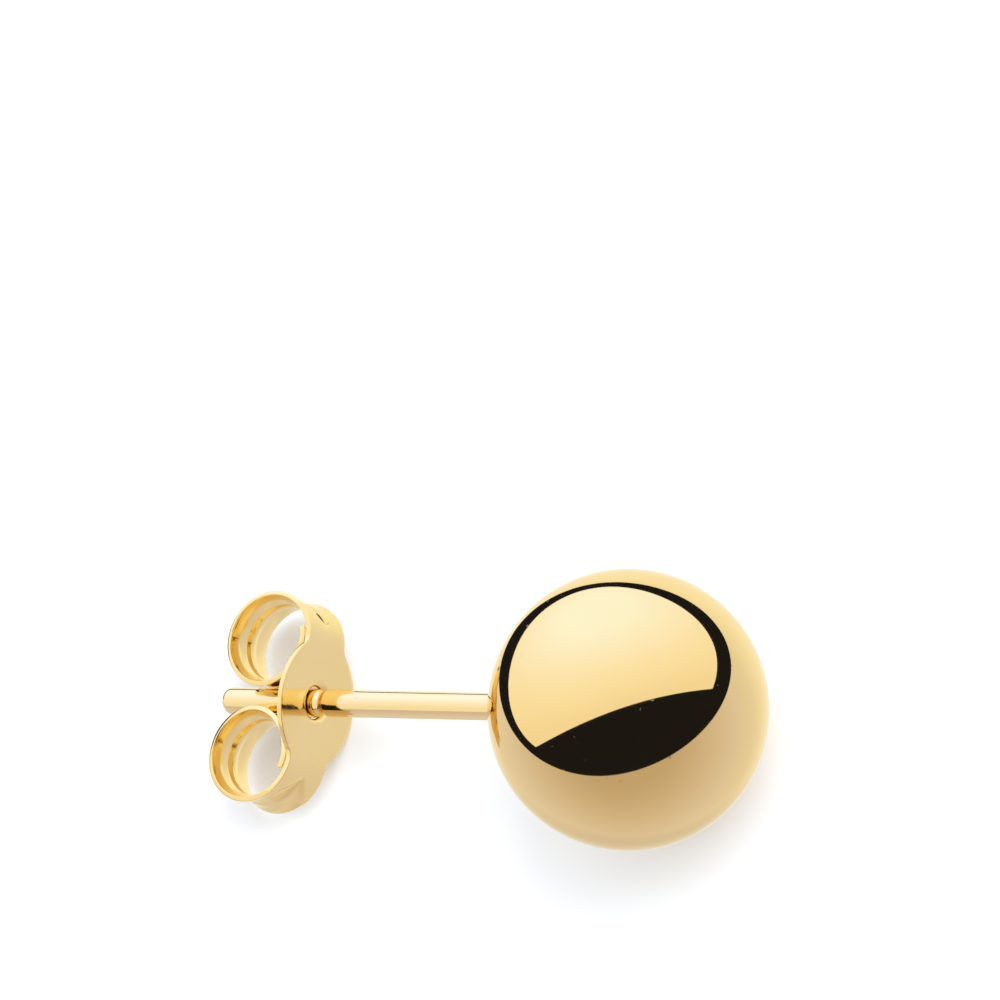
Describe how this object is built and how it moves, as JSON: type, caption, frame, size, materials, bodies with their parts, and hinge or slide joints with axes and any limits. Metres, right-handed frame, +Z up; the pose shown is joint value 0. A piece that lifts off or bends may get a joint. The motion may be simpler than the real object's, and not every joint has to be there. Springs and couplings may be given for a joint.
{
  "type": "stud earring",
  "caption": "Polished gold ball stud earring: a mirror-bright ball on a straight post, with a sliding butterfly back that grips the post behind the ear lobe.",
  "frame": {"origin": "on the surface that the earring rests on, under the middle of its bounding box", "axes": "+X along the earring's length towards the ball, +Z up from the surface"},
  "size_m": [0.0184, 0.008, 0.008],
  "materials": {
    "stud_gold": "mirror-polished yellow gold",
    "clutch_gold": "bright pressed yellow gold sheet"
  },
  "bodies": {
    "stud": {"ball_stud": "stud_gold"},
    "clutch": {"butterfly_clutch": "clutch_gold"}
  },
  "joints": [
    {"name": "clutch_slide", "type": "slide", "parent": "stud", "child": "clutch", "axis": [0.9785, 0, 0.2061], "range_m": [-0.0036, 0.007]}
  ]
}
